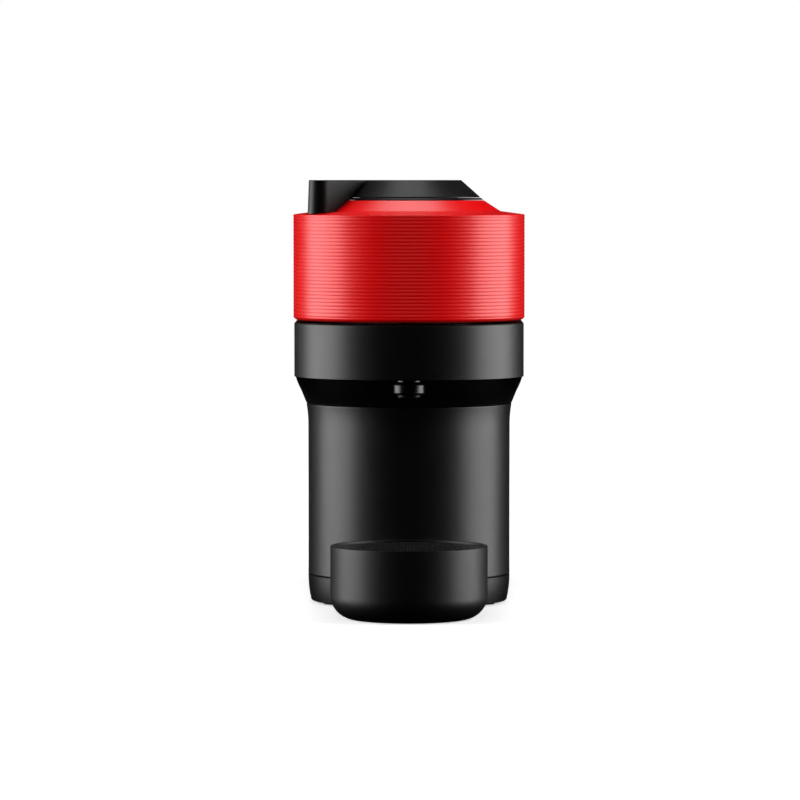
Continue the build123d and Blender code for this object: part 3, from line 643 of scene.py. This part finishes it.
# %% [markdown]
# Under the lid sits the head: a shallow tray whose wall is the wide black ring. It runs
# back in straight sides to the rear of the machine. Its floor is open where capsules fall
# through and over the technical compartment, so those openings are cut out at the end.

# %% Head
RING_R, RING_LOW, RING_HIGH = 67.5, 142.7, 174.6
REAR_Y = 163.0
bm = bmesh.new()
wall = rounded([
    (9.0, RING_LOW), (0.0, RING_LOW, 0.35), (0.0, RING_HIGH, 1.3), (2.4, RING_HIGH, 0.4),
    (2.4, 145.1), (9.0, 145.1),
], steps=6)
add_moulding(bm, wall, RING_R, BREW_Y, BREW_Y - RING_R, REAR_Y, 12, closed=False)
head = finish_mesh(bm, "head", "housing", ["head_housing"])
cut(
    head,
    ((-34, -84, 140), (34, -44, 150)),
    ((-58, 26, 140), (58, 157, 150)),
    ((-48, 150, 140), (48, REAR_Y + 5, 180)),
)
dress(head, "black_satin")

# %% [markdown]
# The neck carries the head. It flares from the narrow column to the wide head along a
# smooth curve. The sections come from the drawing; between them the widths are blended so
# that the surface has no creases.

# %% Neck and rear body
WALL = 2.4
COLUMN_HALF, COLUMN_Y = 61.6, -35.0
COLUMN_FRONT = COLUMN_Y - COLUMN_HALF
NECK = (
    (142.5, 67.3, -125.0, -133.5),
    (139.3, 67.0, -110.0, -130.5),
    (135.0, 66.3, -85.0, -119.0),
    (130.7, 65.2, -62.0, -108.5),
    (126.5, 64.1, -46.0, -101.5),
    (122.3, 62.8, -35.0, -97.8),
)


def blended(table, t):
    """A row between the rows of a table, on a smooth curve through them; t runs 0 to 1."""
    place = t * (len(table) - 1)
    i = min(int(place), len(table) - 2)
    u = place - i
    rows = [table[max(0, min(len(table) - 1, k))] for k in (i - 1, i, i + 1, i + 2)]
    row = []
    for a, b, c, d in zip(*rows):
        row.append(b + 0.5 * u * (c - a + u * (2 * a - 5 * b + 4 * c - d + u * (3 * (b - c) + d - a))))
    return row


def neck_ring(t, inset):
    """One ring of the neck, t of the way down, moved inwards by an inset."""
    z, half, arc_y, front = blended(NECK, t)
    return plan(half - inset, arc_y, front + inset, REAR_Y - inset, max(1, 10 - inset), z)


bm = bmesh.new()
down = [k / 36 for k in range(37)]
outside = [neck_ring(t, 0.0) for t in down]
SEAM_Z, PLATE_Z = 122.3, 124.3
lip = [[(x, y, SEAM_Z) for x, y, z in neck_ring(1.0, inset)] for inset in (0.3, 6.0)]
inside = [neck_ring(t, WALL) for t in reversed(down)]
inside[0] = [(x, y, PLATE_Z) for x, y, z in neck_ring(1.0, 6.0)]
inside.insert(1, [(x, y, PLATE_Z) for x, y, z in neck_ring(1.0, WALL)])
add_rings(bm, outside + lip + inside)
add_moulding(
    bm,
    rounded([(0.0, 17.9, 0.4), (0.0, 122.4), (2.4, 122.4), (2.4, 17.9)], steps=3, closed=True),
    COLUMN_HALF, 25.5, 21.5, REAR_Y, 10,
)
# a rib that closes the sight line through the gap behind the container
add_block(bm, (-57, 20.25, 19), (57, 23, 121))
body = finish_mesh(bm, "body", "housing", ["main_body"])
cut(body, ((-48, 150, 24), (48, REAR_Y + 5, 150)))
dress(body, "black_satin")

# %% [markdown]
# The front half of the column is the container for used capsules. It slides out forwards
# under the spout. Only a hair-wide seam under the neck and a shadow line over the base
# show that it is a piece of its own.

# %% Capsule container
def add_sector(bm, inner, outer, low, high, place, middle_angle, sweep, steps=24):
    """A part of a ring that stands upright, such as a rib that follows a round wall."""
    rings = []
    for step in range(steps + 1):
        angle = radians(middle_angle + sweep * (step / steps - 0.5))
        rings.append([
            (place[0] + r * cos(angle), place[1] + r * sin(angle), z)
            for r, z in ((inner, low), (outer, low), (outer, high), (inner, high))
        ])
    add_rings(bm, rings, closed=False, cap=True)


bm = bmesh.new()
# the wall widens by a millimetre towards its top, to meet the neck
flare = [(-1.0 * (k / 8) ** 2, 109.0 + 11.9 * k / 8) for k in range(9)]
cup_wall = rounded([(9.0, 17.95), (0.0, 17.95, 0.5), (0.0, 36.0)], steps=5) + flare + rounded([
    flare[-1], (-1.1, 121.8, 0.5), (2.0, 121.8, 0.5), (2.0, 36.0), (2.0, 20.3, 2.0), (9.0, 20.3),
], steps=5)[1:]
add_moulding(bm, cup_wall, COLUMN_HALF, COLUMN_Y, COLUMN_FRONT, 20.0, 4, closed=False)
# the closed pocket for the tongue of the cup support
add_sector(bm, 49.0, 60.2, 20.1, 34.0, (0, COLUMN_Y), 270, 52)
container = finish_mesh(bm, "container", "container", ["capsule_container"])
cut(container, ((-22.4, -100, 23.4), (22.4, -86, 30.6)))
dress(container, "black_satin")

# %% [markdown]
# The base narrows a little towards the worktop and has a soft lower edge. It carries the
# container in front, the technical compartment in the middle and the tank at the rear.

# %% Base
bm = bmesh.new()
undercut = [(1.7 * (1 - k / 10) ** 2, 2.0 + 15.2 * k / 10) for k in range(11)]
foot = [(9.0, 1.5), (2.2, 1.5), *undercut, (0.4, 17.6), (9.0, 17.6)]
add_moulding(bm, foot, COLUMN_HALF, COLUMN_Y, COLUMN_FRONT, 213.0, 22, closed=False)
base = finish_mesh(bm, "base", "housing", ["base_plate"])
dress(base, "black_calm")

# %% [markdown]
# The rear cover hugs the round lid with a hollow front, and a pocket in its middle leaves
# room for the hinge and for falling capsules. It is drawn as an outline from above, raised
# to its height, and its top edge is then rounded with a bevel.

# %% Rear cover
REAR_HALF, REAR_HIGH = 66.0, 232.0
HUG, REAR_CORNER = 69.6, 12.0
POCKET_HALF, POCKET_Y = 42.0, -37.7
half_shape = []
low_angle = atan2(26.0, REAR_HALF)
high_angle = atan2(sqrt(HUG ** 2 - POCKET_HALF ** 2), POCKET_HALF)
centre_x, centre_y = REAR_HALF - REAR_CORNER, REAR_Y - REAR_CORNER
for k in range(9):
    angle = pi / 2 * (1 - k / 8)
    half_shape.append((centre_x + REAR_CORNER * cos(angle), centre_y + REAR_CORNER * sin(angle)))
for k in range(13):
    angle = low_angle + (high_angle - low_angle) * k / 12
    half_shape.append((HUG * cos(angle), BREW_Y + HUG * sin(angle)))
half_shape.append((POCKET_HALF, POCKET_Y))
shape = half_shape + [(-x, y) for x, y in reversed(half_shape)]
bm = bmesh.new()
add_rings(bm, [[(x, y, z) for x, y in shape] for z in (175.0, 190.0, REAR_HIGH)], closed=False, cap=True)
top_edges = [e for e in bm.edges if min(v.co.z for v in e.verts) > REAR_HIGH - 0.01]
bmesh.ops.bevel(bm, geom=top_edges, offset=2.2, segments=5, profile=0.5, affect="EDGES")
# the two lugs that hold the hinge pin
for side in (-1, 1):
    outline = rounded([(-37, 219.6), (-51, 219.6, 2.0), (-51, 231.5, 5.5), (-36, 231.5)], steps=8)
    low_x, high_x = sorted((side * 32.0, side * 43.0))
    add_rings(bm, [[(x, y, z) for y, z in outline] for x in (low_x, high_x)], closed=False, cap=True)
rear = finish_mesh(bm, "rear_shell", "housing", ["rear_cover"])
cut(rear, ((-48, 150, 170), (48, REAR_Y + 5, 222)))
dress(rear, "black_satin")

# %% [markdown]
# The cup stands on a round tray with a soft lower edge. Its grid lies a little below the
# rim, in rings of small holes, and spilled coffee runs through them into the bowl.

# %% Cup support and grid
CUP_R, CUP_HIGH = 46.3, 43.2
ROUND, BOWL_WALL = 14.0, 2.4
inner_round = ROUND - BOWL_WALL
bm = bmesh.new()
foot_arc, inside_arc = [], []
for step in range(19):
    angle = pi / 2 * step / 18
    foot_arc.append((CUP_R - ROUND + ROUND * sin(angle), ROUND - ROUND * cos(angle)))
    inside_arc.append((CUP_R - ROUND + inner_round * cos(angle), ROUND - inner_round * sin(angle)))
bowl = [(0.001, 0.0), *foot_arc] + rounded([
    (CUP_R, 20.0), (CUP_R, CUP_HIGH, 0.6), (43.3, CUP_HIGH, 0.4), (43.3, 39.9), (41.6, 39.9), (41.6, 38.0),
    (43.7, 36.0),
], steps=6) + [*inside_arc, (0.001, BOWL_WALL)]
add_turned(bm, bowl, (0, CUP_Y), steps=200)
# the tongue that hooks into the container
add_block(bm, (-22, -108, 23.6), (22, -86.4, 30.4))
stand = finish_mesh(bm, "cup_tray", "cup_stand", ["cup_support"])
dress(stand, "black_soft")


def holes_plate(bm, radius, low, high, hole, rows, gap):
    """A round plate with rings of round holes, drawn once and raised to its thickness."""
    loops = [[(radius * cos(2 * pi * k / 160), radius * sin(2 * pi * k / 160)) for k in range(160)]]
    for row in range(rows + 1):
        ring_r = row * gap
        count = max(1, 6 * row)
        for number in range(count):
            angle = 2 * pi * (number + 0.5 * (row % 2)) / count
            x, y = ring_r * cos(angle), ring_r * sin(angle)
            turns = [-2 * pi * k / 12 for k in range(12)]
            loops.append([(x + hole * cos(turn), y + hole * sin(turn)) for turn in turns])
    edges = []
    for loop in loops:
        verts = [bm.verts.new((x, y + CUP_Y, high)) for x, y in loop]
        edges += [bm.edges.new((a, b)) for a, b in zip(verts, verts[1:] + verts[:1])]
    bmesh.ops.triangle_fill(bm, use_beauty=True, edges=edges)
    raised = bmesh.ops.extrude_face_region(bm, geom=list(bm.faces))
    lowered = [v for v in raised["geom"] if isinstance(v, bmesh.types.BMVert)]
    bmesh.ops.translate(bm, vec=(0, 0, low - high), verts=lowered)
    print(len(loops) - 1, "holes in the grid")


bm = bmesh.new()
holes_plate(bm, 42.9, 40.3, 41.9, 0.95, 10, 3.9)
dress(finish_mesh(bm, "grid_plate", "grid", ["drip_grid"]), "black_satin")

# %% [markdown]
# The spout is a short button of glossy plastic under the head, with a narrower lip below.

# %% Spout
bm = bmesh.new()
add_turned(bm, rounded([
    (3.0, 129.8), (6.5, 129.8, 0.7), (7.0, 131.9, 0.4), (9.4, 132.1, 1.2), (9.4, 138.4, 3.2),
    (7.1, 139.2, 0.4), (7.1, 145.6),
    (6.3, 145.6), (6.3, 138.0), (3.0, 134.0),
], steps=8, closed=True), (0, BREW_Y), steps=96)
dress(finish_mesh(bm, "spout", "housing", ["coffee_spout"]), "black_gloss")

# %% [markdown]
# The tank and its lid are rounded boxes. The tank's wall is closed round its open top, so
# the clear plastic has a real thickness for light to bend in.

# %% Tank and lid
TANK_HALF, TANK_Y0, TANK_Y1 = 50.0, 165.6, 213.0


def tank_plan(inset, height):
    """A ring round the tank: small corners in front, large ones at the rear."""
    ring = []
    corners = (
        (TANK_HALF, TANK_Y1, 20.0, 0), (-TANK_HALF, TANK_Y1, 20.0, 1),
        (-TANK_HALF, TANK_Y0, 6.0, 2), (TANK_HALF, TANK_Y0, 6.0, 3),
    )
    for x, y, radius, quarter in corners:
        cx = x - (radius if x > 0 else -radius)
        cy = y - (radius if y > 200 else -radius)
        for k in range(11):
            angle = pi / 2 * (quarter + k / 10)
            ring.append((cx + (radius - inset) * cos(angle), cy + (radius - inset) * sin(angle), height))
    return ring


bm = bmesh.new()
walls = rounded([
    (9.0, 24.0), (0.0, 24.0, 2.5), (0.0, 190.0, 0.7), (2.0, 190.0, 0.7), (2.0, 26.0, 1.5), (9.0, 26.0),
], steps=5)
add_rings(bm, [tank_plan(inset, height) for inset, height in walls], closed=False, cap=True)
dress(finish_mesh(bm, "clear_tank", "tank", ["water_tank"]), "smoked_clear")

bm = bmesh.new()
cap = rounded([(9.0, 190.3), (0.0, 190.3, 0.4), (0.0, 194.0, 1.2), (9.0, 194.0)], steps=5)
add_rings(bm, [tank_plan(inset, height) for inset, height in cap], closed=False, cap=True)
skirt = rounded([(2.6, 190.4), (2.6, 186.0, 0.5), (4.4, 186.0, 0.5), (4.4, 190.4)], steps=3)
add_rings(bm, [tank_plan(inset, height) for inset, height in skirt])
dress(finish_mesh(bm, "tank_cap", "tank_cover", ["tank_lid"]), "black_satin")

# %% [markdown]
# The studio is a plain pale floor under a white sky. Two tall soft boxes stand beside the
# machine and a little behind it, so that they draw the two bright bands down its sides and
# leave the front dark. A third one hangs above and behind for the cone. Beside each of
# them a second light brightens the colours and stays out of the reflections, and one in
# front does the same for the face of the machine. The brightness of a box is how white it
# looks itself, where 1 is the white of the sky. Places are in metres from here on.

# %% Lights
def soft_box(name, place, aim, size, brightness, fills=False):
    """A rectangular light. One that fills only brightens; the others only show in reflections."""
    lamp = bpy.data.lights.new(name, "AREA")
    lamp.shape = "RECTANGLE"
    lamp.size, lamp.size_y = size
    lamp.energy = brightness * pi * size[0] * size[1]
    holder = bpy.data.objects.new(name, lamp)
    holder.location = place
    holder.rotation_euler = (Vector(aim) - Vector(place)).to_track_quat("-Z", "Y").to_euler()
    holder.visible_camera = False
    holder.visible_glossy = not fills
    holder.visible_diffuse = fills
    scene.collection.objects.link(holder)
    return holder


middle = Vector((0, BREW_Y * MM, 0.14))
crown = Vector((0, BREW_Y * MM, TOP_Z * MM))
for side in (-1, 1):
    for name, degrees_round, width, brightness in (
        ("side box", 94, 1.15, 4.8), ("side fill", 83, 0.9, 7.6),
    ):
        turn = radians(degrees_round)
        place = middle + Vector((side * sin(turn), -cos(turn), 0.16)) * 1.25
        soft_box(name, place, middle, (width, 1.2), brightness, fills=name == "side fill")
for name, degrees_up, depth, brightness in (
    ("top box", 72, 0.62, 3.7), ("top fill", 80, 0.9, 6.3),
):
    lean = radians(degrees_up)
    place = crown + Vector((0, cos(lean), sin(lean))) * 1.2
    soft_box(name, place, crown, (0.6, depth), brightness, fills=name == "top fill")
soft_box("front fill", (0, -2.4, 0.9), middle, (1.8, 1.8), 1.6, fills=True)

# %% [markdown]
# The floor glows a little, and more so further away, so that it runs into the white sky
# without an edge and still takes a faint shadow close to the machine. It lights nothing.

# %% Floor and sky
bm = bmesh.new()
bmesh.ops.create_circle(bm, cap_ends=True, segments=96, radius=3.5)
mesh = bpy.data.meshes.new("floor")
bm.to_mesh(mesh)
bm.free()
floor = bpy.data.objects.new("floor", mesh)
scene.collection.objects.link(floor)
floor.visible_glossy = False
floor.visible_diffuse = False
paper = Finish("pale_floor")
away = paper.node("ShaderNodeVectorMath", {"operation": "LENGTH"}, {0: paper.place()}, 1)
paper.set(
    Base_Color=paper.mix(paper.noise(3.0), (0.92, 0.92, 0.92), (0.93, 0.93, 0.93)),
    Roughness=0.9 + 0.05 * paper.noise(9.0),
    Emission_Color=paper.mix(paper.ramp(away * 0.5, 0.15, 0.5), (0.45, 0.45, 0.45), (1.0, 1.0, 1.0)),
    Emission_Strength=1.0,
)
paper.shader.inputs["Specular IOR Level"].default_value = 0.0
floor.data.materials.append(paper.material)

sky = bpy.data.worlds.new("white sky")
scene.world = sky
sky.use_nodes = True
sky.node_tree.nodes["Background"].inputs["Color"].default_value = (1, 1, 1, 1)
sky.node_tree.nodes["Background"].inputs["Strength"].default_value = 1.0
sky.cycles_visibility.diffuse = False
sky.cycles_visibility.glossy = False
scene.view_settings.view_transform = "Standard"

# %% [markdown]
# The camera is a long lens at the height of the machine's top, looking slightly down. From
# there the top is seen edge-on, and the cup support shows a narrow ellipse.

# %% Camera
lens = bpy.data.cameras.new("camera")
lens.sensor_width = 36.0
lens.lens = 215.0
lens.clip_end = 50.0
camera = bpy.data.objects.new("camera", lens)
camera.location = (0, BREW_Y * MM - 2.81, TOP_Z * MM)
down, aside = radians(2.636), radians(0.108)
camera.rotation_euler = (pi / 2 - down, 0, aside)
scene.collection.objects.link(camera)
scene.camera = camera
print("lens", round(lens.lens, 1), "mm, looking down", round(degrees(down), 2), "degrees")
